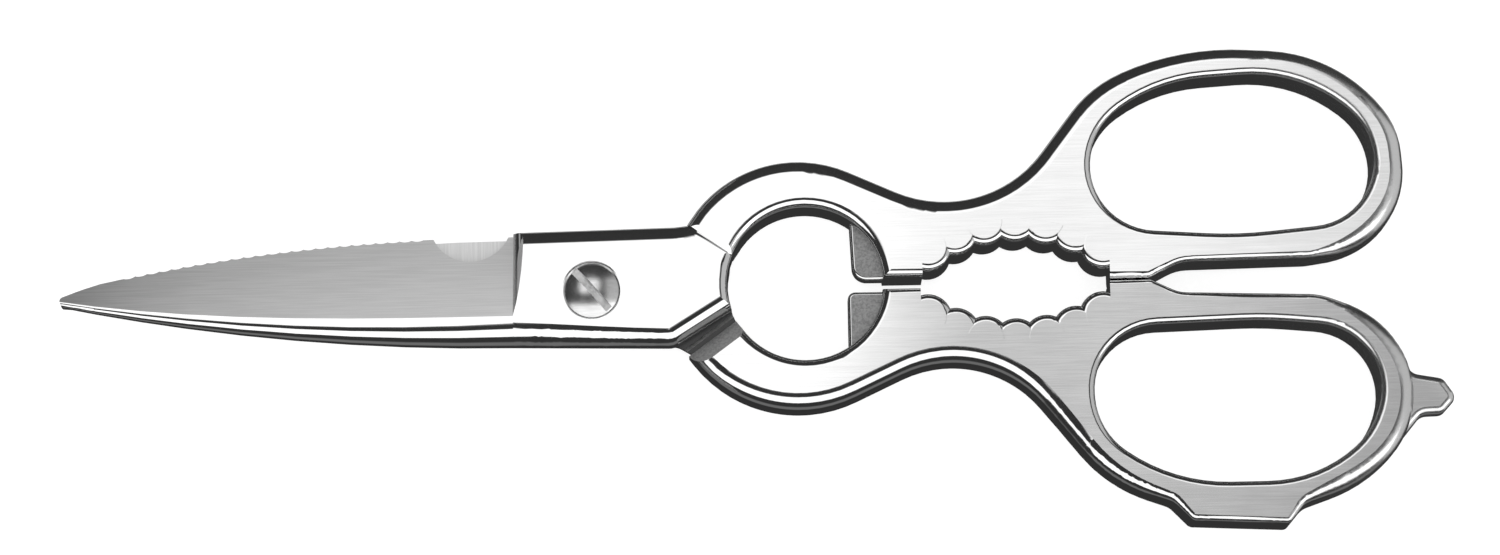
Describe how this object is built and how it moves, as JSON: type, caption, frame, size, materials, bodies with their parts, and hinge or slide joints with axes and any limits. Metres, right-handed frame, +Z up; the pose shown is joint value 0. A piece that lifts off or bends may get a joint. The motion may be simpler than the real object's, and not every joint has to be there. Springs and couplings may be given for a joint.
{
  "type": "poultry shears",
  "caption": "Forged steel poultry shears: serrated blade with bone notch, toothed cap-grip jaw, bottle-opener ring, finger bows, hammer pad and lever tip, joined by a slotted screw.",
  "frame": {"origin": "middle of the length and width of the closed shears, on the plane of the handles' lower faces", "axes": "+X along the shears towards the finger bows, +Y across them towards the front half's bow, +Z up through the thickness, out of the screw head's side"},
  "size_m": [0.21, 0.0734, 0.0082],
  "materials": {
    "front_steel": "polished, with a satin ground blade face",
    "rear_steel": "polished, with a satin ground blade face",
    "screw_steel": "turned and lightly polished",
    "nut_steel": "turned",
    "spring_steel": "plain spring steel"
  },
  "bodies": {
    "rear": {"rear_half": "rear_steel", "pivot_screw": "screw_steel", "lock_nut": "nut_steel", "spring_washer": "spring_steel"},
    "front": {"front_half": "front_steel"}
  },
  "joints": [
    {"name": "pivot", "type": "hinge", "parent": "rear", "child": "front", "pos_m": [-0.0245, 0.0006, 0.004], "axis": [0, 0, 1], "range_deg": [0, 115]}
  ]
}
